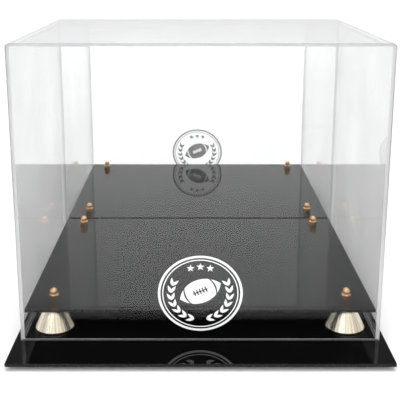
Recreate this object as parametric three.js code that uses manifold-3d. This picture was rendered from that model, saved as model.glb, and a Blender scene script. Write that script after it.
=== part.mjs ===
// Display case for one full-size football helmet.
//
// A gloss black base plate and a raised platform are held apart by four cone risers. A screw
// comes up through the base plate, the riser and the platform at each corner, and an acorn nut
// closes it on top. A clear cover with a mirrored back stands on the base plate around the
// platform, which locates it, and lifts straight off.
//
// Millimetres, +Z up. The front faces -Y, and +X is to the right of a person facing the front.
// The origin lies on the surface the case stands on, below the middle of the base plate.

import * as THREE from 'three';
import { mergeVertices } from 'three/addons/utils/BufferGeometryUtils.js';
import Module from 'manifold-3d';

const wasm = await Module();
wasm.setup();

// ---- Driving dimensions -------------------------------------------------------------------

const SHEET = 3.175;              // thickness of every acrylic sheet, 1/8 inch
const PLATE_CORNER = 1;           // corner radius of the base plate and the platform

const BASE_WIDTH = 381;           // 15 inches
const BASE_DEPTH = 342.9;         // 13.5 inches
const FRONT_LEDGE = 47;           // how far the base plate stands out in front of the cover

const COVER_WIDTH = 368.3;        // 14.5 inches, outside
const COVER_DEPTH = 292.1;        // 11.5 inches, outside
const COVER_HEIGHT = 304.8;       // 12 inches, outside
const BEND_RADIUS = 3.6;          // outside radius of the two heat bends along the top

const PLATFORM_SIDE_GAP = 0.5;    // between the platform and each side wall
const PLATFORM_END_GAP = 2;       // between the platform and the front and back panels

const RISER_HEIGHT = 28.575;      // 1 1/8 inches
const RISER_RIM_RADIUS = 20.6;    // widest ring, just above the base plate
const RISER_RIM_HEIGHT = 1.5;
const RISER_RIM_EDGE = 0.5;       // height of the plain edge of the widest ring
const RISER_FOOT_RADIUS = 19.6;
const RISER_TOP_RADIUS = 7.6;
const RISER_TOP_CHAMFER = 0.6;
const RISER_WALL = 2;
const RISER_INSET = 26;           // from the platform's edges to the riser's axis

const SCREW_RADIUS = 2.4;         // 10-32 machine screw
const SCREW_LENGTH = 41.3;        // 1 5/8 inches under the head
const SCREW_HOLE_RADIUS = 2.7;    // clearance hole in the plates and in the riser
const SCREW_POINT = 0.8;          // chamfer at the screw's end
const HEAD_RADIUS = 4.7;
const HEAD_HEIGHT = 3;
const HEAD_ROUND = 1.6;           // radius round the outer edge of the pan head
const RECESS_SPAN = 5;            // cross recess, tip to tip
const RECESS_SLOT = 1.1;
const RECESS_DEPTH = 1.7;

const NUT_ACROSS_FLATS = 9.525;   // 3/8 inch
const NUT_HEX_HEIGHT = 6;
const NUT_CHAMFER_SLOPE = 0.55;   // fall of the hexagon's chamfer for each mm outwards
const NUT_HEIGHT = 12.7;          // 1/2 inch
const NUT_BALL_RADIUS = 4;        // the cap is a ball,
const NUT_BALL_CUT = Math.PI / 4; // cut off this far below its middle
const NUT_BORE_RADIUS = 2.52;
const NUT_BORE_DEPTH = 8;

const FOOT_HEIGHT = 4.8;
const FOOT_TOP_RADIUS = 6.35;
const FOOT_BOTTOM_RADIUS = 5.3;
const FOOT_EDGE = 0.5;
const FOOT_INSET = 19;            // from the base plate's edges to the foot's axis

// ---- Places worked out from the driving dimensions ----------------------------------------

const BASE_Z = FOOT_HEIGHT;
const BASE_TOP_Z = BASE_Z + SHEET;
const PLATFORM_Z = BASE_TOP_Z + RISER_HEIGHT;
const NUT_Z = PLATFORM_Z + SHEET;

const COVER_FRONT_Y = FRONT_LEDGE - BASE_DEPTH / 2;
const WRAP_LENGTH = COVER_DEPTH - 2 * SHEET;

const PLATFORM_WIDTH = COVER_WIDTH - 2 * SHEET - 2 * PLATFORM_SIDE_GAP;
const PLATFORM_DEPTH = WRAP_LENGTH - 2 * PLATFORM_END_GAP;
const PLATFORM_Y = COVER_FRONT_Y + COVER_DEPTH / 2;

const RISER_X = PLATFORM_WIDTH / 2 - RISER_INSET;
const RISER_Y = PLATFORM_DEPTH / 2 - RISER_INSET;
const FOOT_X = BASE_WIDTH / 2 - FOOT_INSET;
const FOOT_Y = BASE_DEPTH / 2 - FOOT_INSET;

const CORNERS = [
  { name: 'front_left', x: -1, y: -1 },
  { name: 'front_right', x: 1, y: -1 },
  { name: 'back_left', x: -1, y: 1 },
  { name: 'back_right', x: 1, y: 1 },
];

const RISER_SIDES = 48;
const SMALL_SIDES = 24;
const HOLE_STEPS = 12;            // straight steps in each half of a round hole
const CORNER_STEPS = 4;           // straight steps in each rounded corner
const BALL_STEPS = 9;             // rings of facets from the ball's cut to its top

// ---- Materials ----------------------------------------------------------------------------

const blackAcrylic = () => new THREE.MeshStandardMaterial({
  color: 0x0a0a0b, roughness: 0.06, metalness: 0,
});
const clearAcrylic = () => new THREE.MeshStandardMaterial({
  color: 0xf2f6f6, roughness: 0.03, metalness: 0, transparent: true, opacity: 0.2,
});
const mirror = () => new THREE.MeshStandardMaterial({
  color: 0xe6e8ea, roughness: 0.03, metalness: 1,
});
const paleBrass = () => new THREE.MeshStandardMaterial({
  color: 0xd9cb9c, roughness: 0.18, metalness: 1,
});
const goldenBrass = () => new THREE.MeshStandardMaterial({
  color: 0xc89848, roughness: 0.15, metalness: 1,
});
const zincSteel = () => new THREE.MeshStandardMaterial({
  color: 0xb4b6b8, roughness: 0.35, metalness: 1,
});
const blackRubber = () => new THREE.MeshStandardMaterial({
  color: 0x141414, roughness: 0.85, metalness: 0,
});

// ---- Geometry helpers ---------------------------------------------------------------------

// A named mesh whose own zero point stands at x, y, z.
function place(name, geometry, material, x, y, z) {
  const mesh = new THREE.Mesh(geometry, material);
  mesh.name = name;
  mesh.position.set(x, y, z);
  return mesh;
}

// The (radius, height) points turned about the Z axis.
function turned(points, sides) {
  const profile = points.map(([radius, height]) => new THREE.Vector2(radius, height));
  return new THREE.LatheGeometry(profile, sides).rotateX(Math.PI / 2);
}

// (radius, height) points on a circle of the given size about (radius, height), from one angle
// to another.
function arc(radius, height, size, from, to, steps) {
  return Array.from({ length: steps + 1 }, (_, step) => {
    const angle = from + ((to - from) * step) / steps;
    return [radius + size * Math.cos(angle), height + size * Math.sin(angle)];
  });
}

// An outline drawn in X and Z, made into a sheet that runs from y = 0 back to y = thickness.
function upright(outline, thickness) {
  const geometry = new THREE.ExtrudeGeometry(outline, {
    depth: thickness, bevelEnabled: false, curveSegments: CORNER_STEPS,
  });
  return geometry.rotateX(Math.PI / 2).translate(0, thickness, 0);
}

function toManifold(geometry) {
  const bare = geometry.clone();
  bare.deleteAttribute('normal');
  bare.deleteAttribute('uv');
  const welded = mergeVertices(bare, 1e-4);
  return new wasm.Manifold(new wasm.Mesh({
    numProp: 3,
    vertProperties: new Float32Array(welded.attributes.position.array),
    triVerts: new Uint32Array(welded.index.array),
  }));
}

function toGeometry(solid) {
  const mesh = solid.getMesh();
  const geometry = new THREE.BufferGeometry();
  geometry.setAttribute('position', new THREE.BufferAttribute(mesh.vertProperties, 3));
  geometry.setIndex(new THREE.BufferAttribute(mesh.triVerts, 1));
  geometry.computeVertexNormals();
  return geometry;
}

// ---- Plates -------------------------------------------------------------------------------

// A flat plate about the Z axis with four screw holes at plus and minus holeX, holeY,
// shifted by holeShiftY.
function drilledPlate(width, depth, holeX, holeY, holeShiftY) {
  const outline = new THREE.Shape();
  const x = width / 2 - PLATE_CORNER;
  const y = depth / 2 - PLATE_CORNER;
  outline.absarc(x, y, PLATE_CORNER, 0, Math.PI / 2);
  outline.absarc(-x, y, PLATE_CORNER, Math.PI / 2, Math.PI);
  outline.absarc(-x, -y, PLATE_CORNER, Math.PI, 1.5 * Math.PI);
  outline.absarc(x, -y, PLATE_CORNER, 1.5 * Math.PI, 2 * Math.PI);
  outline.closePath();
  for (const corner of CORNERS) {
    const hole = new THREE.Path();
    hole.absarc(corner.x * holeX, holeShiftY + corner.y * holeY, SCREW_HOLE_RADIUS,
      0, 2 * Math.PI, true);
    outline.holes.push(hole);
  }
  return new THREE.ExtrudeGeometry(outline, {
    depth: SHEET, bevelEnabled: false, curveSegments: HOLE_STEPS,
  });
}

function basePlate() {
  const geometry = drilledPlate(BASE_WIDTH, BASE_DEPTH, RISER_X, RISER_Y, PLATFORM_Y);
  return place('base_plate', geometry, blackAcrylic(), 0, 0, BASE_Z);
}

function platform() {
  const geometry = drilledPlate(PLATFORM_WIDTH, PLATFORM_DEPTH, RISER_X, RISER_Y, 0);
  return place('platform', geometry, blackAcrylic(), 0, PLATFORM_Y, PLATFORM_Z);
}

// ---- Risers, screws, nuts and feet --------------------------------------------------------

// A hollow cone with a closed top. Its widest ring stands a little above the base plate, and
// below it the edge turns in to the ring the riser stands on.
function riserGeometry() {
  const wallTop = RISER_HEIGHT - RISER_WALL;
  return turned([
    [RISER_FOOT_RADIUS - RISER_WALL, 0],
    [RISER_FOOT_RADIUS, 0],
    [RISER_RIM_RADIUS, RISER_RIM_HEIGHT],
    [RISER_RIM_RADIUS, RISER_RIM_HEIGHT + RISER_RIM_EDGE],
    [RISER_TOP_RADIUS, RISER_HEIGHT - RISER_TOP_CHAMFER],
    [RISER_TOP_RADIUS - RISER_TOP_CHAMFER, RISER_HEIGHT],
    [SCREW_HOLE_RADIUS, RISER_HEIGHT],
    [SCREW_HOLE_RADIUS, wallTop],
    [RISER_TOP_RADIUS - RISER_WALL, wallTop],
    [RISER_RIM_RADIUS - RISER_WALL, RISER_RIM_HEIGHT],
    [RISER_FOOT_RADIUS - RISER_WALL, 0],
  ], RISER_SIDES);
}

// A pan-head screw with its head's underside at z = 0, the head below it and the shank above.
function screwGeometry() {
  const headEdge = arc(HEAD_RADIUS - HEAD_ROUND, HEAD_ROUND - HEAD_HEIGHT, HEAD_ROUND,
    -Math.PI / 2, 0, CORNER_STEPS);
  const body = turned([
    [0, -HEAD_HEIGHT],
    ...headEdge,
    [HEAD_RADIUS, 0],
    [SCREW_RADIUS, 0],
    [SCREW_RADIUS, SCREW_LENGTH - SCREW_POINT],
    [SCREW_RADIUS - SCREW_POINT, SCREW_LENGTH],
    [0, SCREW_LENGTH],
  ], SMALL_SIDES);
  const slotHeight = 2 * RECESS_DEPTH;
  const alongX = new THREE.BoxGeometry(RECESS_SPAN, RECESS_SLOT, slotHeight);
  const alongY = new THREE.BoxGeometry(RECESS_SLOT, RECESS_SPAN, slotHeight);
  return toGeometry([alongX, alongY]
    .map((slot) => toManifold(slot.translate(0, 0, -HEAD_HEIGHT)))
    .reduce((rest, slot) => rest.subtract(slot), toManifold(body)));
}

// A hexagon with its top corners chamfered, a ball on it, and a blind hole from below.
function acornNutGeometry() {
  const cornerRadius = NUT_ACROSS_FLATS / 2 / Math.cos(Math.PI / 6);
  const hexagon = new THREE.CylinderGeometry(cornerRadius, cornerRadius, NUT_HEX_HEIGHT, 6)
    .rotateX(Math.PI / 2)
    .translate(0, 0, NUT_HEX_HEIGHT / 2);
  const coneFoot = cornerRadius * 2;
  const chamferCone = turned([
    [0, -NUT_HEX_HEIGHT],
    [coneFoot, -NUT_HEX_HEIGHT],
    [coneFoot, NUT_HEX_HEIGHT - (coneFoot - NUT_BALL_RADIUS) * NUT_CHAMFER_SLOPE],
    [NUT_BALL_RADIUS, NUT_HEX_HEIGHT],
    [0, NUT_HEX_HEIGHT],
  ], SMALL_SIDES);
  const ball = turned([
    [0, NUT_HEX_HEIGHT / 2],
    [NUT_BALL_RADIUS * Math.cos(NUT_BALL_CUT), NUT_HEX_HEIGHT / 2],
    ...arc(0, NUT_HEIGHT - NUT_BALL_RADIUS, NUT_BALL_RADIUS, -NUT_BALL_CUT, Math.PI / 2,
      BALL_STEPS).slice(0, -1),
    [0, NUT_HEIGHT],
  ], SMALL_SIDES);
  const bore = turned([
    [0, -SHEET],
    [NUT_BORE_RADIUS, -SHEET],
    [NUT_BORE_RADIUS, NUT_BORE_DEPTH],
    [0, NUT_BORE_DEPTH],
  ], SMALL_SIDES);
  return toGeometry(toManifold(hexagon)
    .intersect(toManifold(chamferCone))
    .add(toManifold(ball))
    .subtract(toManifold(bore)));
}

function footGeometry() {
  return turned([
    [0, 0],
    [FOOT_BOTTOM_RADIUS - FOOT_EDGE, 0],
    [FOOT_BOTTOM_RADIUS, FOOT_EDGE],
    [FOOT_TOP_RADIUS, FOOT_HEIGHT],
    [0, FOOT_HEIGHT],
  ], SMALL_SIDES);
}

// The riser, screw and nut that stand on one axis, and the foot at the same corner.
function cornerParts(corner) {
  const x = corner.x * RISER_X;
  const y = PLATFORM_Y + corner.y * RISER_Y;
  return [
    place(`riser_${corner.name}`, riserGeometry(), paleBrass(), x, y, BASE_TOP_Z),
    place(`screw_${corner.name}`, screwGeometry(), zincSteel(), x, y, BASE_Z),
    place(`acorn_nut_${corner.name}`, acornNutGeometry(), goldenBrass(), x, y, NUT_Z),
    place(`foot_${corner.name}`, footGeometry(), blackRubber(),
      corner.x * FOOT_X, corner.y * FOOT_Y, 0),
  ];
}

// ---- Cover --------------------------------------------------------------------------------

// The upper outline of the cover, drawn from its lower left corner to its lower right corner
// and moved in by inset on every side.
function coverArch(inset) {
  const side = COVER_WIDTH / 2 - inset;
  const top = COVER_HEIGHT - inset;
  const radius = BEND_RADIUS - inset;
  const arch = new THREE.Shape();
  arch.moveTo(-side, 0);
  arch.lineTo(-side, top - radius);
  arch.absarc(radius - side, top - radius, radius, Math.PI, Math.PI / 2, true);
  arch.absarc(side - radius, top - radius, radius, Math.PI / 2, 0, true);
  arch.lineTo(side, 0);
  return arch;
}

// One sheet bent twice: the left wall, the top and the right wall.
function coverWrap() {
  const outer = coverArch(0).getPoints(CORNER_STEPS);
  const inner = coverArch(SHEET).getPoints(CORNER_STEPS).reverse();
  const outline = new THREE.Shape([...outer, ...inner]);
  return place('cover_wrap', upright(outline, WRAP_LENGTH), clearAcrylic(), 0, SHEET, 0);
}

function coverPanel(name, material, y) {
  return place(name, upright(coverArch(0), SHEET), material, 0, y, 0);
}

// The cover's three sheets are bonded to each other, so they lift off as one.
function cover() {
  const group = new THREE.Group();
  group.position.set(0, COVER_FRONT_Y, BASE_TOP_Z);
  group.add(coverWrap());
  group.add(coverPanel('cover_front', clearAcrylic(), 0));
  group.add(coverPanel('cover_back_mirror', mirror(), SHEET + WRAP_LENGTH));
  return group;
}

// ---- The whole case -----------------------------------------------------------------------

const displayCase = new THREE.Group();
displayCase.add(basePlate());
displayCase.add(platform());
for (const corner of CORNERS) {
  displayCase.add(...cornerParts(corner));
}
displayCase.add(cover());

export default displayCase;
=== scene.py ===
"""Display case for a football helmet: a clear cover with a mirrored back over a raised black platform.

Metres, +Z up, the front facing -Y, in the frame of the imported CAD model.
"""

import math

import bmesh
import bpy
from mathutils import Matrix, Vector


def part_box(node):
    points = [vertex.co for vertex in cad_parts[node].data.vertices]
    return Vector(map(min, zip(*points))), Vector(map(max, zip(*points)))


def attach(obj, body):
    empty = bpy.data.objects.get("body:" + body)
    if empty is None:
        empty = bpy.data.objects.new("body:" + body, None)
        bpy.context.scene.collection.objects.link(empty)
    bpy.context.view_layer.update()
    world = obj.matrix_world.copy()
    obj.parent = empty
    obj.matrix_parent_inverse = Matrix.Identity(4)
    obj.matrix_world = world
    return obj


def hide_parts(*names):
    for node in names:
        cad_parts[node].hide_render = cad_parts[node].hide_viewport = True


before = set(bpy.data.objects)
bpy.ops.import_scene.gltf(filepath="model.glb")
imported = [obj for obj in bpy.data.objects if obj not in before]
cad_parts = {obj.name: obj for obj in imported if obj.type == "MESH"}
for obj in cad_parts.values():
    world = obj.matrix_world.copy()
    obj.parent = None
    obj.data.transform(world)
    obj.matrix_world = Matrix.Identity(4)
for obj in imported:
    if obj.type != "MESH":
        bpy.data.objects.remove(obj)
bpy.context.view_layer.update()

MM = 0.001

# ---- Sizes that the boxes of the CAD nodes don't give ------------------------------------------

SHEET_ROUND = 0.25 * MM        # the small rounding along every rim of a sheet
SHEET_CORNER = 0.4 * MM        # the rounding of a cover sheet's square corners
PLATE_CORNER = 1.0 * MM
BEND_RADIUS = 3.6 * MM         # outside radius of the cover's two bends
CEMENT_GAP = 0.05 * MM         # the solvent cement between two bonded sheets
SCREW_HOLE = 2.7 * MM          # radius

RISER_FOOT_RADIUS = 19.6 * MM
RISER_TOP_RADIUS = 7.6 * MM
RISER_RIM_HEIGHT = 1.5 * MM
RISER_RIM_EDGE = 0.5 * MM      # height of the plain edge of the widest ring
RISER_CHAMFER = 0.6 * MM
RISER_WALL = 2.0 * MM
RISER_SOFT_EDGE = 0.25 * MM
RISER_CRISP_EDGE = 0.15 * MM

SCREW_CREST = 2.4 * MM
SCREW_ROOT = 2.0 * MM
SCREW_PITCH = 0.8 * MM
THREAD_FADE = 1.5 * SCREW_PITCH  # the thread rises from a plain shank over this length
SCREW_POINT = 0.8 * MM
SCREW_POINT_SLOPE = 0.8
HEAD_HEIGHT = 3.0 * MM
HEAD_RADIUS = 4.7 * MM
HEAD_ROUND = 1.6 * MM
RECESS_SPAN = 5.0 * MM
RECESS_SLOT = 1.1 * MM
RECESS_DEPTH = 1.7 * MM
RECESS_TAPER = 0.45            # the cross's span at its deepest, of its span at the surface

NUT_FLATS = 9.525 * MM
NUT_HEX_HEIGHT = 6.0 * MM
NUT_CHAMFER_SLOPE = 0.55
NUT_EDGE = 0.3 * MM
NUT_FACE_INSET = 0.2 * MM      # how far inside the flats the round lower face ends
NUT_BALL = 4.0 * MM
NUT_BALL_CUT = math.radians(45)
NUT_BORE = 2.52 * MM
NUT_BORE_DEPTH = 8.0 * MM

FOOT_BOTTOM_RADIUS = 5.3 * MM
FOOT_ROUND = 0.8 * MM
FOOT_TOP_EDGE = 0.1 * MM
FOOT_DISH_RADIUS = 2.2 * MM
FOOT_DISH_DEPTH = 0.4 * MM
FOOT_DISH_SLOPE = 0.5 * MM     # how far the dish's side leans out
FOOT_DISH_EDGE = 0.2 * MM

CORNERS = ("front_left", "front_right", "back_left", "back_right")


# ---- Mesh helpers ------------------------------------------------------------------------------

def rounded(corners, steps=8, hold=0.4):
    """The closed outline through (x, y, radius) corners, each turned in an arc of its radius.

    A spare point stands just outside each end of an arc, so that smooth shading stays on the arc.
    """
    points = []
    for index, (x, y, radius) in enumerate(corners):
        here = Vector((x, y))
        if radius == 0:
            points.append(here)
            continue
        before = (Vector(corners[index - 1][:2]) - here).normalized()
        after = (Vector(corners[(index + 1) % len(corners)][:2]) - here).normalized()
        half = before.angle(after) / 2
        centre = here + (before + after).normalized() * radius / math.sin(half)
        reach = radius / math.tan(half)
        turn = (math.pi - 2 * half) * (-1 if before.cross(after) > 0 else 1)
        start = here + before * reach - centre
        points.append(here + before * (reach + hold * radius))
        for step in range(steps + 1):
            points.append(centre + Matrix.Rotation(turn * step / steps, 2) @ start)
        points.append(here + after * (reach + hold * radius))
    return points


def circle(x, y, radius, steps=48):
    """A round outline."""
    turns = [2 * math.pi * step / steps for step in range(steps)]
    return [Vector((x + radius * math.cos(turn), y + radius * math.sin(turn))) for turn in turns]


def add_piece(name, bm, body, materials, replaced, matrix, sharp=35):
    """Turns bm into a piece of the visual model that stands for CAD nodes and rides on a body.

    Edges folded by more than sharp degrees are shaded as edges.
    """
    bmesh.ops.recalc_face_normals(bm, faces=bm.faces)
    for edge in bm.edges:
        if edge.calc_face_angle(0) > math.radians(sharp):
            edge.smooth = False
    mesh = bpy.data.meshes.new(name)
    bm.to_mesh(mesh)
    bm.free()
    mesh.transform(matrix)
    for material in materials:
        mesh.materials.append(material)
    piece = bpy.data.objects.new(name, mesh)
    bpy.context.scene.collection.objects.link(piece)
    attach(piece, body)
    if replaced:
        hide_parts(*replaced)
    return piece


def slab(bm, outlines_at, thickness, rounding=0.0, steps=3):
    """Adds a sheet to bm, up from zero: outlines in X and Y, which outlines_at gives for an inset.

    Its two broad faces get material 0 and its rim material 1. A rounding rounds both edges of
    the rim, and the fold where the rounding meets the flat of the rim is shaded as an edge.
    """
    quarter = [math.pi / 2 * step / steps for step in range(steps + 1)] if rounding else [math.pi / 2]
    lower = [(rounding * (1 - math.sin(turn)), rounding * (1 - math.cos(turn))) for turn in quarter]
    upper = [(inset, thickness - height) for inset, height in reversed(lower)]
    grids = []
    for inset, height in lower + upper:
        grids.append([[bm.verts.new((x, y, height)) for x, y in line] for line in outlines_at(inset)])
    for low_lines, high_lines in zip(grids, grids[1:]):
        for low, high in zip(low_lines, high_lines):
            for index in range(len(low)):
                after = (index + 1) % len(low)
                side = bm.faces.new((low[index], low[after], high[after], high[index]))
                side.smooth = True
                side.material_index = 1
    for grid in (grids[len(lower) - 1], grids[len(lower)]):
        for edge in ring_edges(bm, grid):
            edge.smooth = False
    for grid in (grids[0], grids[-1]):
        bmesh.ops.triangle_fill(bm, use_beauty=True, edges=ring_edges(bm, grid))


def ring_edges(bm, lines):
    """The edges of closed lines of vertices."""
    edges = []
    for line in lines:
        for here, after in zip(line, line[1:] + line[:1]):
            edges.append(bm.edges.get((here, after)))
    return edges


def level_ring(bm, radius, height, sides):
    """A level ring of new vertices about the Z axis, or a single vertex where it has no radius."""
    count = sides if radius > 0.001 * MM else 1
    turns = [2 * math.pi * side / sides for side in range(count)]
    return [bm.verts.new((radius * math.cos(turn), radius * math.sin(turn), height)) for turn in turns]


def join_rings(bm, rings):
    """Joins rings of vertices, each to the next. A ring of one vertex is a pole."""
    for low, high in zip(rings, rings[1:]):
        for side in range(max(len(low), len(high))):
            around = (low[side % len(low)], low[(side + 1) % len(low)],
                      high[(side + 1) % len(high)], high[side % len(high)])
            around = list(dict.fromkeys(around))
            if len(around) > 2:
                bm.faces.new(around).smooth = True


def lathe(bm, outline, sides):
    """Adds a closed outline of (radius, height) points turned about the Z axis."""
    rings = [level_ring(bm, radius, height, sides) for radius, height in outline]
    join_rings(bm, rings + rings[:1])


def mark_turns(bm):
    """Stores on each vertex which way it lies from the Z axis, for lines that run down a slope."""
    layer = bm.verts.layers.float_vector.new("around")
    for vert in bm.verts:
        vert[layer] = Vector((vert.co.x, vert.co.y, 0.0)).normalized()


def bake_modifiers(piece):
    """Replaces a piece's mesh by what its modifiers make of it."""
    bpy.context.view_layer.update()
    evaluated = piece.evaluated_get(bpy.context.evaluated_depsgraph_get())
    mesh = bpy.data.meshes.new_from_object(evaluated)
    piece.modifiers.clear()
    piece.data = mesh


def middle(box):
    """The middle of a box given by its lowest and highest corners."""
    return (box[0] + box[1]) / 2


# ---- Material helpers --------------------------------------------------------------------------

class Surface:
    """A material's node tree, built one node at a time."""

    def __init__(self, name):
        self.material = bpy.data.materials.new(name)
        self.material.use_nodes = True
        self.tree = self.material.node_tree
        self.tree.nodes.clear()
        self.place = self.add("ShaderNodeTexCoord").outputs["Object"]

    def add(self, kind, settings=None, **inputs):
        """A new node. A socket given as an input is linked, and any other value is set.

        An input goes by its name, with _ for a space, or by its number after an i.
        """
        node = self.tree.nodes.new(kind)
        for key, value in (settings or {}).items():
            setattr(node, key, value)
        for key, value in inputs.items():
            socket = node.inputs[int(key[1:]) if key[1:].isdigit() else key.replace("_", " ")]
            if isinstance(value, bpy.types.NodeSocket):
                self.tree.links.new(value, socket)
            else:
                socket.default_value = value
        return node

    def noise(self, scale, detail=4.0, roughness=0.5, stretch=(1, 1, 1)):
        """Noise over the object's own coordinates, with features of about 1 / scale metres."""
        place = self.add("ShaderNodeMapping", Vector=self.place, Scale=stretch).outputs[0]
        node = self.add("ShaderNodeTexNoise", Vector=place, Scale=scale, Detail=detail,
                        Roughness=roughness)
        return node.outputs["Fac"]

    def spread(self, value, low, high, start=0.3, end=0.7):
        """value, which runs from start to end, turned into low to high."""
        settings = {"clamp": True}
        node = self.add("ShaderNodeMapRange", settings, Value=value, From_Min=start, From_Max=end,
                        To_Min=low, To_Max=high)
        return node.outputs["Result"]

    def math(self, operation, first, second):
        """One step of arithmetic."""
        return self.add("ShaderNodeMath", {"operation": operation}, i0=first, i1=second).outputs[0]

    def bump(self, height, distance, strength=1.0):
        """A normal roughened by a height that runs from 0 to 1."""
        return self.add("ShaderNodeBump", Strength=strength, Distance=distance, Height=height).outputs[0]

    def colour(self, factor, first, second):
        """A colour between two, by a factor."""
        settings = {"data_type": "RGBA"}
        node = self.add("ShaderNodeMix", settings, i0=factor, i6=(*first, 1.0), i7=(*second, 1.0))
        return node.outputs[2]

    def mix(self, share, first, second):
        """A shader that is the second one by a share, and the first one for the rest."""
        both = self.add("ShaderNodeMixShader", i0=share, i1=first.outputs[0], i2=second.outputs[0])
        return both.outputs[0]

    def done(self, shader):
        """Makes shader the surface, and returns the material."""
        self.add("ShaderNodeOutputMaterial", Surface=shader)
        return self.material


# ---- Clear and mirrored sheets -----------------------------------------------------------------

HEAD_ON_MIRRORED = 0.010       # the share of light that a clear sheet mirrors when it is met head-on
GRAZING_POWER = 5.0            # how late that share rises to 1 as the light slants more
RIM_BODY_SHARE = 0.75          # how much of a clear rim is milky, the rest being see-through
GLOW_PAINTED_BELOW = 0.01              # clear rims have their palest painted light below this height
SHADE_PAINTED_ABOVE = 0.16              # and their greyest painted shade above this one


def mirrored_share(surface):
    """How much of the light a clear sheet mirrors at the angle it is met, the same from both sides."""
    slant = surface.add("ShaderNodeLayerWeight", Blend=0.5).outputs["Facing"]
    steep = surface.math("POWER", slant, GRAZING_POWER)
    share = surface.add("ShaderNodeMath", {"operation": "MULTIPLY_ADD"}, i0=steep,
                        i1=1 - HEAD_ON_MIRRORED, i2=HEAD_ON_MIRRORED)
    return share.outputs[0]


def clear_acrylic(name, shaded_through, unshaded_through):
    """The broad faces of a clear sheet: hand-polished, with faint wipe marks and patches of painted
    shade and cloudy reflection.

    The two shares after the name are how much light passes in the painted patches and outside them.
    """
    surface = Surface(name)
    wipes = surface.noise(9.0, detail=6.0, stretch=(1.0, 1.0, 0.35))
    painted_shade_cloud = surface.noise(11.0, detail=5.0, roughness=0.6, stretch=(1.0, 1.0, 0.6))
    waves = surface.bump(surface.noise(7.0, detail=1.0), 0.4 * MM, strength=0.03)
    # Painted shade and cloudy reflection: the see-through share dims in soft patches.
    tint = surface.colour(surface.spread(painted_shade_cloud, 0.0, 1.0, start=0.35, end=0.65),
                          [shaded_through] * 3, [unshaded_through] * 3)
    through = surface.add("ShaderNodeBsdfTransparent", Color=tint)
    gloss = surface.add("ShaderNodeBsdfGlossy", Color=(0.95, 0.955, 0.96, 1.0),
                        Roughness=surface.spread(wipes, 0.0, 0.03), Normal=waves)
    return surface.done(surface.mix(mirrored_share(surface), through, gloss))


def acrylic_edge(name, grey, pale):
    """The sawn and flame-polished rims of a clear sheet, which carry light along the sheet.

    They go from grey along the upper part of the cover to pale near its foot, which is painted shade
    above and painted light below; saw streaks make them paler in places.
    """
    surface = Surface(name)
    streaks = surface.noise(160.0, detail=5.0, stretch=(1.0, 1.0, 0.08))
    height = surface.add("ShaderNodeSeparateXYZ", Vector=surface.place).outputs["Z"]
    # Painted light and shade: the rims' tint is pale near the cover's foot and grey higher up.
    painted_glow_and_streaks = surface.math("ADD", surface.spread(height, 0.8, 0.1, start=GLOW_PAINTED_BELOW, end=SHADE_PAINTED_ABOVE),
                            surface.spread(streaks, 0.0, 0.2))
    tint = surface.colour(painted_glow_and_streaks, [grey] * 3, [pale] * 3)
    through = surface.add("ShaderNodeBsdfTransparent", Color=tint)
    body = surface.add("ShaderNodeBsdfPrincipled", Base_Color=tint, IOR=1.49,
                       Roughness=surface.spread(streaks, 0.12, 0.32),
                       Normal=surface.bump(streaks, 0.015 * MM, strength=0.3))
    return surface.done(surface.mix(RIM_BODY_SHARE, through, body))


def mirror_face():
    """The silvered face of the back panel."""
    surface = Surface("mirror_acrylic")
    wipes = surface.noise(8.0, detail=6.0, stretch=(1.0, 1.0, 0.35))
    waves = surface.bump(surface.noise(6.0, detail=1.0), 0.4 * MM, strength=0.10)
    tint = surface.colour(wipes, (0.865, 0.87, 0.87), (0.90, 0.905, 0.905))
    body = surface.add("ShaderNodeBsdfPrincipled", Base_Color=tint, Metallic=1.0,
                       Roughness=surface.spread(wipes, 0.0, 0.03), Normal=waves)
    return surface.done(body.outputs[0])


def mirror_backing():
    """The grey protective paint on the back of the mirror."""
    surface = Surface("mirror_backing_paint")
    grain = surface.noise(1400.0, detail=3.0)
    cloud = surface.noise(14.0, detail=5.0)
    tint = surface.colour(cloud, (0.20, 0.21, 0.22), (0.25, 0.26, 0.27))
    body = surface.add("ShaderNodeBsdfPrincipled", Base_Color=tint, IOR=1.45,
                       Roughness=surface.spread(cloud, 0.42, 0.58),
                       Normal=surface.bump(grain, 0.03 * MM, strength=0.5))
    return surface.done(body.outputs[0])


# ---- Black sheets, metal, rubber, ink and paper ------------------------------------------------

def black_acrylic():
    """Gloss black sheet, with wipe marks, fine hairlines in its polish and specks of dust."""
    surface = Surface("black_acrylic")
    wipes = surface.noise(11.0, detail=7.0)
    hairs = surface.noise(500.0, detail=2.0, stretch=(1.0, 0.04, 1.0))
    dust = surface.noise(1800.0, detail=1.0)
    waves = surface.bump(surface.noise(8.0, detail=1.0), 0.4 * MM, strength=0.04)
    tint = surface.colour(surface.spread(dust, 0.0, 1.0, start=0.72, end=0.80),
                          (0.0018, 0.0018, 0.002), (0.02, 0.02, 0.02))
    polish = surface.math("ADD", surface.spread(wipes, 0.008, 0.035),
                          surface.spread(hairs, 0.0, 0.03, start=0.66, end=0.8))
    body = surface.add("ShaderNodeBsdfPrincipled", Base_Color=tint, Roughness=polish, IOR=1.49,
                       Specular_IOR_Level=0.3, Normal=waves)
    return surface.done(body.outputs[0])


def black_edge():
    """The rims of the black sheets: sawn, then polished, so less glossy than the faces."""
    surface = Surface("black_acrylic_edge")
    saw = surface.noise(220.0, detail=4.0, stretch=(1.0, 1.0, 0.15))
    tint = surface.colour(saw, (0.003, 0.003, 0.0035), (0.008, 0.008, 0.0085))
    body = surface.add("ShaderNodeBsdfPrincipled", Base_Color=tint, IOR=1.49, Specular_IOR_Level=0.2,
                       Roughness=surface.spread(saw, 0.16, 0.34),
                       Normal=surface.bump(saw, 0.012 * MM, strength=0.35))
    return surface.done(body.outputs[0])


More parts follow.
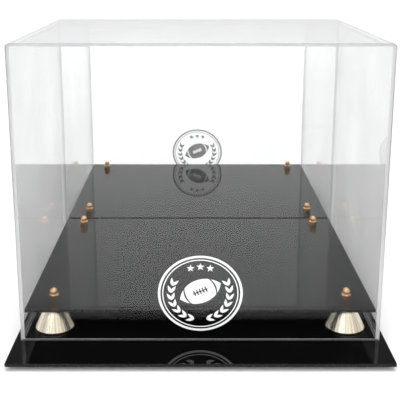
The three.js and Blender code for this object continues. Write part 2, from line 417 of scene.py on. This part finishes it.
def brass(name, pale, deep, low, high):
    """Polished brass with fine lines down its slope in its bump and roughness, and streaks of paler and
    deeper colour along the same lines, which are painted reflection streaks.

    low and high are its least and greatest roughness.
    """
    surface = Surface(name)
    cloud = surface.noise(60.0, detail=5.0)
    around = surface.add("ShaderNodeAttribute", {"attribute_name": "around"}).outputs["Vector"]
    lines = surface.add("ShaderNodeTexNoise", Vector=around, Scale=9.0, Detail=6.0,
                        Roughness=0.7).outputs["Fac"]
    # The colour streaks along the lines are painted reflection streaks, pale and deep.
    tint = surface.colour(surface.spread(lines, 0.0, 1.0, start=0.42, end=0.62), pale, deep)
    polish = surface.math("ADD", surface.spread(cloud, low, high), surface.spread(lines, 0.0, 0.05))
    body = surface.add("ShaderNodeBsdfPrincipled", Base_Color=tint, Metallic=1.0, Roughness=polish,
                       Normal=surface.bump(lines, 0.4 * MM, strength=0.8))
    return surface.done(body.outputs[0])


def zinc_steel():
    """Bright zinc plating, clouded and slightly grainy."""
    surface = Surface("screw_steel")
    cloud = surface.noise(400.0, detail=5.0)
    tint = surface.colour(cloud, (0.52, 0.53, 0.54), (0.66, 0.66, 0.65))
    body = surface.add("ShaderNodeBsdfPrincipled", Base_Color=tint, Metallic=1.0,
                       Roughness=surface.spread(cloud, 0.26, 0.42),
                       Normal=surface.bump(cloud, 0.02 * MM, strength=0.4))
    return surface.done(body.outputs[0])


def rubber():
    """Matt black moulded rubber."""
    surface = Surface("foot_rubber")
    grain = surface.noise(2600.0, detail=4.0)
    cloud = surface.noise(240.0, detail=4.0)
    tint = surface.colour(cloud, (0.010, 0.010, 0.010), (0.022, 0.022, 0.021))
    body = surface.add("ShaderNodeBsdfPrincipled", Base_Color=tint, IOR=1.5,
                       Roughness=surface.spread(cloud, 0.68, 0.86),
                       Normal=surface.bump(grain, 0.05 * MM, strength=0.6))
    return surface.done(body.outputs[0])


def white_ink():
    """Screen-printed white ink, with the faint mesh and mottle of the print."""
    surface = Surface("emblem_ink")
    mottle = surface.noise(900.0, detail=4.0)
    cloud = surface.noise(60.0, detail=4.0)
    tint = surface.colour(cloud, (0.84, 0.84, 0.84), (0.92, 0.92, 0.91))
    body = surface.add("ShaderNodeBsdfPrincipled", Base_Color=tint, IOR=1.45,
                       Roughness=surface.spread(mottle, 0.32, 0.48),
                       Normal=surface.bump(mottle, 0.01 * MM, strength=0.4))
    return surface.done(body.outputs[0])


def floor_paper():
    """Pale seamless studio paper."""
    surface = Surface("floor_paper")
    fibre = surface.noise(500.0, detail=4.0)
    tint = surface.colour(fibre, (0.86, 0.86, 0.86), (0.90, 0.90, 0.90))
    body = surface.add("ShaderNodeBsdfPrincipled", Base_Color=tint, Specular_IOR_Level=0.2,
                       Roughness=surface.spread(fibre, 0.75, 0.9))
    return surface.done(body.outputs[0])


# ---- Plates ------------------------------------------------------------------------------------

def rectangle(low, high, inset, corner):
    """A rectangle with round corners, moved in by inset on every side."""
    x0, y0, x1, y1 = low.x + inset, low.y + inset, high.x - inset, high.y - inset
    radius = corner - inset
    return rounded([(x0, y0, radius), (x1, y0, radius), (x1, y1, radius), (x0, y1, radius)])


def make_plate(name, faces, edges):
    """A gloss black plate with its four screw holes."""
    low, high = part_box(name)
    holes = [middle(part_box(f"riser_{corner}")) for corner in CORNERS]

    def outlines(inset):
        holes_here = [circle(hole.x, hole.y, SCREW_HOLE + inset) for hole in holes]
        return [rectangle(low, high, inset, PLATE_CORNER)] + holes_here

    bm = bmesh.new()
    slab(bm, outlines, high.z - low.z, SHEET_ROUND)
    return add_piece(f"{name}_sheet", bm, "base", [faces, edges], [name],
                     Matrix.Translation((0, 0, low.z)))


# ---- Risers, screws, nuts and feet -------------------------------------------------------------

def make_riser(corner, material):
    """A hollow spun cone with a closed top, standing on a narrower foot below its widest ring."""
    low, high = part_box(f"riser_{corner}")
    height = high.z - low.z
    rim = (high.x - low.x) / 2
    rim_top = RISER_RIM_HEIGHT + RISER_RIM_EDGE
    roof = height - RISER_WALL
    outline = rounded([
        (RISER_FOOT_RADIUS - RISER_WALL, 0, RISER_CRISP_EDGE),
        (RISER_FOOT_RADIUS, 0, RISER_CRISP_EDGE),
        (rim, RISER_RIM_HEIGHT, RISER_CRISP_EDGE),
        (rim, rim_top, RISER_CRISP_EDGE),
        (RISER_TOP_RADIUS, height - RISER_CHAMFER, RISER_SOFT_EDGE),
        (RISER_TOP_RADIUS - RISER_CHAMFER, height, RISER_CRISP_EDGE),
        (SCREW_HOLE, height, RISER_CRISP_EDGE),
        (SCREW_HOLE, roof, RISER_CRISP_EDGE),
        (RISER_TOP_RADIUS - RISER_WALL, roof, RISER_SOFT_EDGE),
        (rim - RISER_WALL, RISER_RIM_HEIGHT, RISER_SOFT_EDGE),
    ], steps=4)
    bm = bmesh.new()
    lathe(bm, outline, sides=128)
    mark_turns(bm)
    centre = middle((low, high))
    return add_piece(f"riser_cone_{corner}", bm, "base", [material],
                     [f"riser_{corner}"], Matrix.Translation((centre.x, centre.y, low.z)))


def add_thread(bm, length, sides=24, rows_per_turn=6):
    """A screw shank up from zero to a chamfered end, its thread a ridge that winds up round it."""
    rows = round(length / SCREW_PITCH * rows_per_turn)
    rings = []
    for row in range(rows + 1):
        height = length * row / rows
        fade = min(height / THREAD_FADE, 1.0)
        taper = max(0.0, height - (length - SCREW_POINT)) * SCREW_POINT_SLOPE
        ring = []
        for side in range(sides):
            phase = (height / SCREW_PITCH - side / sides) % 1.0
            ridge = 1 - abs(2 * phase - 1)
            radius = SCREW_CREST - (SCREW_CREST - SCREW_ROOT) * (1 - ridge) * fade - taper
            turn = 2 * math.pi * side / sides
            ring.append(bm.verts.new((radius * math.cos(turn), radius * math.sin(turn), height)))
        rings.append(ring)
    join_rings(bm, rings)
    return rings


def make_screw(corner, material, dome_steps=8):
    """A pan-head machine screw, its head below the base plate and its thread up in the nut."""
    low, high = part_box(f"screw_{corner}")
    centre = middle((low, high))
    underside = low.z + HEAD_HEIGHT
    length = high.z - underside
    bm = bmesh.new()
    thread = add_thread(bm, length)
    sides = len(thread[0])
    rings = [thread[0], level_ring(bm, HEAD_RADIUS, 0.0, sides)]
    for step in range(dome_steps + 1):
        turn = math.pi / 2 * step / dome_steps
        radius = HEAD_RADIUS - HEAD_ROUND * (1 - math.cos(turn))
        rings.append(level_ring(bm, radius, HEAD_ROUND * (1 - math.sin(turn)) - HEAD_HEIGHT, sides))
    rings.append(level_ring(bm, 0.0, -HEAD_HEIGHT, sides))
    join_rings(bm, rings)
    join_rings(bm, [thread[-1], level_ring(bm, 0.0, length, sides)])
    piece = add_piece(f"pan_screw_{corner}", bm, "base", [material],
                      [f"screw_{corner}"], Matrix.Translation((centre.x, centre.y, underside)))
    cut_recess(piece, centre.x, centre.y, low.z)
    return piece


def cut_recess(piece, x, y, z):
    """Cuts a tapered cross recess into the lower end of a screw head."""
    bm = bmesh.new()
    for along_y in (False, True):
        rings = []
        for taper, height in ((1.0, -RECESS_DEPTH), (1.0, 0.0), (RECESS_TAPER, RECESS_DEPTH)):
            half_x, half_y = RECESS_SPAN / 2 * taper, RECESS_SLOT / 2
            if along_y:
                half_x, half_y = half_y, half_x
            rings.append([bm.verts.new((x + a * half_x, y + b * half_y, z + height))
                          for a, b in ((-1, -1), (1, -1), (1, 1), (-1, 1))])
        join_rings(bm, rings)
        bm.faces.new(rings[0])
        bm.faces.new(rings[-1])
    bmesh.ops.recalc_face_normals(bm, faces=bm.faces)
    mesh = bpy.data.meshes.new("recess_cutter")
    bm.to_mesh(mesh)
    bm.free()
    cutter = bpy.data.objects.new("recess_cutter", mesh)
    bpy.context.scene.collection.objects.link(cutter)
    cut = piece.modifiers.new("recess", "BOOLEAN")
    cut.operation = "DIFFERENCE"
    cut.solver = "EXACT"
    cut.use_self = True
    cut.object = cutter
    bake_modifiers(piece)
    bpy.data.objects.remove(cutter)


def hexagon_points(radius, edge, straight_steps=6, arc_steps=4):
    """A hexagon with a corner towards -Y and its corners rounded by edge, as (x, y) points.

    Its straight sides are split as well, so that a round ring can be joined to it.
    """
    corners = []
    for side in range(6):
        turn = math.radians(60 * side - 90)
        corners.append((radius * math.cos(turn), radius * math.sin(turn), edge))
    points = rounded(corners, arc_steps)
    per_corner = len(points) // len(corners)
    outline = []
    for index, point in enumerate(points):
        outline.append(point)
        if index % per_corner == per_corner - 1:
            after = points[(index + 1) % len(points)]
            outline += [point.lerp(after, step / straight_steps) for step in range(1, straight_steps)]
    return outline


def make_nut(corner, material, ball_steps=18):
    """An acorn nut: a hexagon chamfered above and below, a ball cap on it and a blind hole."""
    low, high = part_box(f"acorn_nut_{corner}")
    centre = middle((low, high))
    height = high.z - low.z
    hexagon = hexagon_points(NUT_FLATS / 2 / math.cos(math.pi / 6), NUT_EDGE)
    bm = bmesh.new()

    def hex_ring(level, fall):
        """The hexagon, which falls away outside the ball."""
        ring = []
        for point in hexagon:
            drop = fall * max(0.0, point.length - NUT_BALL)
            ring.append(bm.verts.new((point.x, point.y, level - drop)))
        return ring

    def round_ring(radius, level):
        """A circle with a point in line with each of the hexagon's."""
        return [bm.verts.new((*(point.normalized() * radius), level)) for point in hexagon]

    rings = [
        round_ring(NUT_BORE, 0.0),
        round_ring(NUT_FLATS / 2 - NUT_FACE_INSET, 0.0),
        hex_ring(0.0, -NUT_CHAMFER_SLOPE),
        hex_ring(NUT_HEX_HEIGHT, NUT_CHAMFER_SLOPE),
        round_ring(NUT_BALL, NUT_HEX_HEIGHT),
        round_ring(NUT_BALL * math.cos(NUT_BALL_CUT), NUT_HEX_HEIGHT),
    ]
    for step in range(ball_steps):
        turn = -NUT_BALL_CUT + (math.pi / 2 + NUT_BALL_CUT) * step / ball_steps
        level = height - NUT_BALL + NUT_BALL * math.sin(turn)
        rings.append(round_ring(NUT_BALL * math.cos(turn), level))
    rings.append([bm.verts.new((0, 0, height))])
    join_rings(bm, rings)
    bore = [rings[0], round_ring(NUT_BORE, NUT_BORE_DEPTH), [bm.verts.new((0, 0, NUT_BORE_DEPTH))]]
    join_rings(bm, bore)
    mark_turns(bm)
    return add_piece(f"acorn_cap_{corner}", bm, "base", [material],
                     [f"acorn_nut_{corner}"], Matrix.Translation((centre.x, centre.y, low.z)),
                     sharp=25)


def make_foot(corner, material):
    """A stuck-on rubber foot, tapered, with a round lower edge and a shallow moulded dish."""
    low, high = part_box(f"foot_{corner}")
    centre = middle((low, high))
    height = high.z - low.z
    top = (high.x - low.x) / 2
    outline = rounded([
        (0, FOOT_DISH_DEPTH, 0),
        (FOOT_DISH_RADIUS, FOOT_DISH_DEPTH, FOOT_DISH_EDGE),
        (FOOT_DISH_RADIUS + FOOT_DISH_SLOPE, 0, FOOT_DISH_EDGE),
        (FOOT_BOTTOM_RADIUS, 0, FOOT_ROUND),
        (top, height, FOOT_TOP_EDGE),
        (0, height, 0),
    ], steps=6)
    bm = bmesh.new()
    lathe(bm, outline, sides=64)
    return add_piece(f"rubber_foot_{corner}", bm, "base", [material],
                     [f"foot_{corner}"], Matrix.Translation((centre.x, centre.y, low.z)))


# ---- Cover -------------------------------------------------------------------------------------

FACING = 0.1                   # a face whose normal has more than this along an axis faces along it


def upright(back):
    """Stands a sheet drawn in X and Y on its lower edge, its first face at back along Y."""
    return Matrix.Translation((0, back, 0)) @ Matrix.Rotation(math.pi / 2, 4, "X")


def panel_mesh(name):
    """An upright panel of the cover with its rim rounded, as a mesh and the matrix to place it."""
    low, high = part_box(name)

    def outlines(inset):
        """Square at the foot and round at the two upper corners."""
        side, foot, top = high.x - inset, low.z + inset, high.z - inset
        corner, bend = SHEET_CORNER - inset, BEND_RADIUS - inset
        return [rounded([
            (-side, foot, corner), (side, foot, corner), (side, top, bend), (-side, top, bend),
        ], steps=10)]

    bm = bmesh.new()
    slab(bm, outlines, high.y - low.y, SHEET_ROUND)
    return bm, upright(high.y)


def make_front(faces, edges):
    """The clear front panel."""
    bm, matrix = panel_mesh("cover_front")
    return add_piece("front_panel", bm, "cover", [faces, edges], ["cover_front"],
                     matrix)


def make_back(mirror, edges, backing):
    """The back panel, silvered towards the inside and painted behind."""
    bm, matrix = panel_mesh("cover_back_mirror")
    for face in bm.faces:
        if face.material_index == 0 and face.calc_center_median().z < SHEET_ROUND:
            face.material_index = 2
    return add_piece("mirror_panel", bm, "cover", [mirror, edges, backing],
                     ["cover_back_mirror"], matrix)


def make_wrap(faces, edges):
    """One clear sheet bent twice: the left wall, the top and the right wall."""
    low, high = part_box("cover_wrap")
    front_low, front_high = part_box("cover_front")
    sheet = front_high.y - front_low.y

    def outlines(inset):
        side, foot, top = high.x - inset, low.z + inset, high.z - inset
        inner_side, inner_top = high.x - sheet + inset, high.z - sheet + inset
        outer, inner, corner = BEND_RADIUS - inset, BEND_RADIUS - sheet + inset, SHEET_CORNER - inset
        return [rounded([
            (-side, foot, corner), (-inner_side, foot, corner),
            (-inner_side, inner_top, inner), (inner_side, inner_top, inner),
            (inner_side, foot, corner), (side, foot, corner),
            (side, top, outer), (-side, top, outer),
        ], steps=12)]

    bm = bmesh.new()
    slab(bm, outlines, high.y - low.y - 2 * CEMENT_GAP, SHEET_ROUND)
    bm.normal_update()
    for face in bm.faces:
        sideways, up_or_down, end_on = (abs(part) > FACING for part in face.normal)
        at_foot = face.calc_center_median().y < low.z + MM
        is_edge = end_on or (up_or_down and (sideways or at_foot))
        face.material_index = 1 if is_edge else 0
    return add_piece("side_and_top_wrap", bm, "cover", [faces, edges],
                     ["cover_wrap"], upright(high.y - CEMENT_GAP))


# ---- Emblem ------------------------------------------------------------------------------------

EMBLEM_WIDTH = 86 * MM
EMBLEM_HEIGHT = 82 * MM
EMBLEM_FOOT = 11 * MM          # from the base plate's top to the emblem's lowest point
EMBLEM_INK = 0.06 * MM

# The drawing below is in millimetres from the emblem's middle, and in degrees.
BADGE_RADIUS = 41.0
RING_INSETS = ((0.0, 2.4), (4.2, 5.2))  # each ring's two edges, in from the badge's radius

BALL_HALF_LENGTH = 21.5
BALL_HALF_WIDTH = 12.6
BALL_TILT = 24
BALL_LIFT = 2.5                # from the badge's middle up to the ball's
SEAM_PLACE = 13.6              # from the ball's middle to the seam at each end
SEAM_GAP = 1.6
SEAM_BOW = 1.8
LACING_LENGTH = 15.0
LACE_COUNT = 5
LACE_WIDTH = 1.3
LACE_REACH = 3.0               # half the length of each short lace

WREATH_RADIUS = 28.6
LEAF_PAIRS = 7                 # on each side
LEAF_START = 12                # from the badge's foot to the first pair
LEAF_SPACING = 16
LEAF_LEANS = (20, -32)         # a pair's outer and inner leaf, from the wreath's own direction
LEAF_LENGTH = 8.6
LEAF_HALF_WIDTH = 1.5
LEAF_FULLNESS = 0.8            # below 1, a leaf is widest nearer its stem

STAR_COUNT = 3
STAR_ARC_RADIUS = 29.0
STAR_SPACING = 19
STAR_SIZE = 4.0
STAR_WAIST = 0.42              # its inner corners' distance from its middle, of its points'


def turned_points(points, angle, x=0.0, y=0.0):
    """Points turned about zero and then moved."""
    turn = Matrix.Rotation(math.radians(angle), 2)
    return [turn @ Vector(point) + Vector((x, y)) for point in points]


def star(x, y):
    """A five-pointed star."""
    points = []
    for step in range(10):
        reach = STAR_SIZE if step % 2 == 0 else STAR_SIZE * STAR_WAIST
        turn = math.radians(90 + 36 * step)
        points.append(Vector((x + reach * math.cos(turn), y + reach * math.sin(turn))))
    return points


def leaf(steps=10):
    """A pointed leaf along X from zero."""
    upper = [(LEAF_LENGTH * step / steps,
              LEAF_HALF_WIDTH * math.sin(math.pi * (step / steps) ** LEAF_FULLNESS))
             for step in range(steps + 1)]
    lower = [(x, -y) for x, y in reversed(upper[1:-1])]
    return upper + lower


def ball_half_width(x):
    """Half the width of the ball's side view at x along its length: its edges are two arcs."""
    radius = (BALL_HALF_LENGTH ** 2 + BALL_HALF_WIDTH ** 2) / (2 * BALL_HALF_WIDTH)
    return math.sqrt(radius ** 2 - x ** 2) - (radius - BALL_HALF_WIDTH)


def ball_slice(start, end, steps=16, seam_steps=8):
    """The ball's side view from a seam at start to a seam or the ball's tip at end."""
    def seam(at):
        """The points of a seam, upwards. It bows away from the ball's middle."""
        half = ball_half_width(at)
        bow = SEAM_BOW if at > 0 else -SEAM_BOW
        shares = [2 * step / seam_steps - 1 for step in range(seam_steps + 1)]
        return [(at + bow * (1 - share * share), half * share) for share in shares]

    xs = [start + (end - start) * step / steps for step in range(1, steps)]
    bottom = [(x, -ball_half_width(x)) for x in xs]
    right = seam(end) if end < BALL_HALF_LENGTH else [(end, 0)]
    top = [(x, ball_half_width(x)) for x in reversed(xs)]
    return bottom + right + top + seam(start)[::-1]


def lacing():
    """The outline of the ball's lacing: one long bar crossed by short laces."""
    half = LACE_WIDTH / 2
    upper = [(-LACING_LENGTH / 2, half)]
    for index in range(LACE_COUNT):
        x = -LACING_LENGTH / 2 + LACING_LENGTH * (index + 0.5) / LACE_COUNT
        upper += [(x - half, half), (x - half, LACE_REACH), (x + half, LACE_REACH), (x + half, half)]
    upper.append((LACING_LENGTH / 2, half))
    return upper + [(x, -y) for x, y in reversed(upper)]


def emblem_islands():
    """Every separate patch of ink, as an outline and the outlines of its holes."""
    def on_ball(points):
        return turned_points(points, BALL_TILT, 0, BALL_LIFT)

    islands = []
    for insets in RING_INSETS:
        islands.append([circle(0, 0, BADGE_RADIUS - inset, 128) for inset in insets])
    half_gap = SEAM_GAP / 2
    panel = ball_slice(-SEAM_PLACE + half_gap, SEAM_PLACE - half_gap)
    islands.append([on_ball(panel), on_ball(lacing())])
    tip = ball_slice(SEAM_PLACE + half_gap, BALL_HALF_LENGTH)
    for side in (-1, 1):
        islands.append([on_ball([(side * x, y) for x, y in tip])])
    for side in (-1, 1):
        for index in range(LEAF_PAIRS):
            angle = -90 + side * (LEAF_START + LEAF_SPACING * index)
            turn = math.radians(angle)
            x, y = WREATH_RADIUS * math.cos(turn), WREATH_RADIUS * math.sin(turn)
            for lean in LEAF_LEANS:
                islands.append([turned_points(leaf(), angle + side * (90 - lean), x, y)])
    for index in range(STAR_COUNT):
        turn = math.radians(90 + STAR_SPACING * (index - (STAR_COUNT - 1) / 2))
        islands.append([star(STAR_ARC_RADIUS * math.cos(turn), STAR_ARC_RADIUS * math.sin(turn))])
    return islands


def make_emblem(material):
    """A generic white badge printed on the outside of the front panel: a ball, leaves and stars."""
    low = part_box("cover_front")[0]
    stretch = EMBLEM_WIDTH / EMBLEM_HEIGHT
    centre_z = low.z + EMBLEM_FOOT + EMBLEM_HEIGHT / 2
    bm = bmesh.new()
    for island in emblem_islands():
        lines = [[(x * MM * stretch, y * MM) for x, y in line] for line in island]
        slab(bm, lambda inset: lines, EMBLEM_INK)
    return add_piece("emblem_print", bm, "cover", [material, material], [],
                     Matrix.Translation((0, 0, centre_z)) @ upright(low.y))


# ---- Studio ------------------------------------------------------------------------------------

FLOOR_RADIUS = 30.0

CAMERA_LENS = 68.6             # millimetres, for a sensor 36 mm wide
CAMERA_SHIFT = (0.0177, -0.15)
CAMERA_X = -0.0075
CAMERA_IN_FRONT = 0.7148       # of the cover's front panel
CAMERA_ABOVE = 0.3827          # the base plate's top
CAMERA_DOWN = 13.43            # degrees that it looks down


def make_floor():
    """A wide sheet of pale paper."""
    bm = bmesh.new()
    bmesh.ops.create_circle(bm, cap_ends=True, segments=96, radius=FLOOR_RADIUS)
    mesh = bpy.data.meshes.new("floor")
    bm.to_mesh(mesh)
    bm.free()
    mesh.materials.append(floor_paper())
    floor = bpy.data.objects.new("floor", mesh)
    bpy.context.scene.collection.objects.link(floor)


def make_world():
    """A white studio, brightest overhead, and dim in a broad band part of the way up behind the case.

    The band is what the black sheets mirror towards the front, which makes them dark grey there.
    """
    world = bpy.data.worlds.new("studio")
    bpy.context.scene.world = world
    world.use_nodes = True
    tree = world.node_tree
    direction = tree.nodes.new("ShaderNodeTexCoord").outputs["Generated"]
    split = tree.nodes.new("ShaderNodeSeparateXYZ")
    tree.links.new(direction, split.inputs[0])
    toward_back, upward = split.outputs["Y"], split.outputs["Z"]

    def between(value, low, high, start, end):
        """value turned into low at start and high at end, smoothly."""
        node = tree.nodes.new("ShaderNodeMapRange")
        node.interpolation_type = "SMOOTHSTEP"
        tree.links.new(value, node.inputs["Value"])
        for key, number in (("From Min", start), ("From Max", end), ("To Min", low), ("To Max", high)):
            node.inputs[key].default_value = number
        return node.outputs["Result"]

    def times(first, second):
        """The product of two values."""
        node = tree.nodes.new("ShaderNodeMath")
        node.operation = "MULTIPLY"
        tree.links.new(first, node.inputs[0])
        tree.links.new(second, node.inputs[1])
        return node.outputs[0]

    above_horizon = between(upward, 0.0, 1.0, start=0.14, end=0.26)
    below_zenith = between(upward, 1.0, 0.0, start=0.72, end=0.92)
    behind = between(toward_back, 0.0, 1.0, start=-0.85, end=0.25)
    band = times(above_horizon, below_zenith)
    lift = between(band, 1.0, 1.06, start=0.0, end=1.0)
    shade = between(times(band, behind), 1.0, 0.17, start=0.0, end=1.0)
    glow = between(upward, 1.0, 2.6, start=0.6, end=0.95)
    background = tree.nodes["Background"]
    tree.links.new(times(glow, times(lift, shade)), background.inputs["Strength"])
    background.inputs["Color"].default_value = (1.0, 1.0, 1.0, 1.0)


def add_softbox(name, place, target, size, watts, mirrored=False):
    """A rectangular area light that faces a point. It is seen in glossy pieces only if mirrored."""
    light = bpy.data.lights.new(name, "AREA")
    light.shape = "RECTANGLE"
    light.size, light.size_y = size
    light.energy = watts
    lamp = bpy.data.objects.new(name, light)
    lamp.location = place
    lamp.rotation_euler = (Vector(target) - Vector(place)).to_track_quat("-Z", "Y").to_euler()
    lamp.visible_glossy = mirrored
    bpy.context.scene.collection.objects.link(lamp)


def make_lights():
    """Soft light from the front, from both its sides and from above, and one small highlight."""
    add_softbox("left_softbox", (-1.5, -2.0, 1.1), target=(0, 0, 0.15), size=(0.9, 1.4), watts=7)
    add_softbox("right_softbox", (1.6, -1.9, 1.1), target=(0, 0, 0.15), size=(0.9, 1.4), watts=5)
    add_softbox("front_softbox", (-0.25, -2.6, 1.0), target=(0, 0, 0.1), size=(1.6, 1.2), watts=6)
    add_softbox("highlight", (-0.95, -2.2, 1.5), target=(0, 0, 0.05), size=(0.4, 0.5), watts=3.5,
                mirrored=True)
    add_softbox("top_softbox", (0, -0.2, 2.4), target=(0, 0, 0), size=(1.8, 1.4), watts=5)


def make_camera():
    """In front of the case, a little above its top and left of its middle, looking slightly down."""
    front_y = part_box("cover_front")[0].y
    base_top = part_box("base_plate")[1].z
    data = bpy.data.cameras.new("camera")
    data.sensor_width = 36.0
    data.lens = CAMERA_LENS
    data.shift_x, data.shift_y = CAMERA_SHIFT
    camera = bpy.data.objects.new("camera", data)
    camera.location = (CAMERA_X, front_y - CAMERA_IN_FRONT, base_top + CAMERA_ABOVE)
    camera.rotation_euler = (math.radians(90 - CAMERA_DOWN), 0, 0)
    bpy.context.scene.collection.objects.link(camera)
    bpy.context.scene.camera = camera


def allow_many_bounces():
    """Lets light pass through all the clear sheets and back from the mirror without being cut off."""
    cycles = bpy.context.scene.cycles
    cycles.max_bounces = 24
    cycles.glossy_bounces = 16
    cycles.transparent_max_bounces = 48


# ---- The scene ---------------------------------------------------------------------------------

make_camera()
make_world()
make_lights()
make_floor()
allow_many_bounces()
bpy.context.scene.view_settings.view_transform = "Standard"

# Less light passes the side walls than the front panel: painted shade and cloudy reflections on the
# walls, beyond a faint tint of the sheet.
clear_front = clear_acrylic("clear_acrylic_front", shaded_through=0.965, unshaded_through=0.975)
clear_sides = clear_acrylic("clear_acrylic_sides", shaded_through=0.87, unshaded_through=0.93)
# The front panel's rims get a darker painted shade higher up than the other rims.
front_rim = acrylic_edge("clear_acrylic_front_edge", grey=0.42, pale=0.88)
clear_rim = acrylic_edge("clear_acrylic_edge", grey=0.68, pale=0.86)
black = black_acrylic()
black_rim = black_edge()
# The pale and deep colours of the brass are the ends of its painted reflection streaks.
pale_brass = brass("riser_brass", (1.0, 0.95, 0.82), (0.86, 0.73, 0.50), low=0.05, high=0.12)
gold_brass = brass("nut_brass", (0.82, 0.57, 0.32), (0.66, 0.42, 0.20), low=0.08, high=0.18)
steel = zinc_steel()
foot_rubber = rubber()

make_plate("base_plate", black, black_rim)
make_plate("platform", black, black_rim)
for corner in CORNERS:
    make_riser(corner, pale_brass)
    make_screw(corner, steel)
    make_nut(corner, gold_brass)
    make_foot(corner, foot_rubber)
make_wrap(clear_sides, clear_rim)
make_front(clear_front, front_rim)
make_back(mirror_face(), clear_rim, mirror_backing())
make_emblem(white_ink())

bpy.context.view_layer.update()
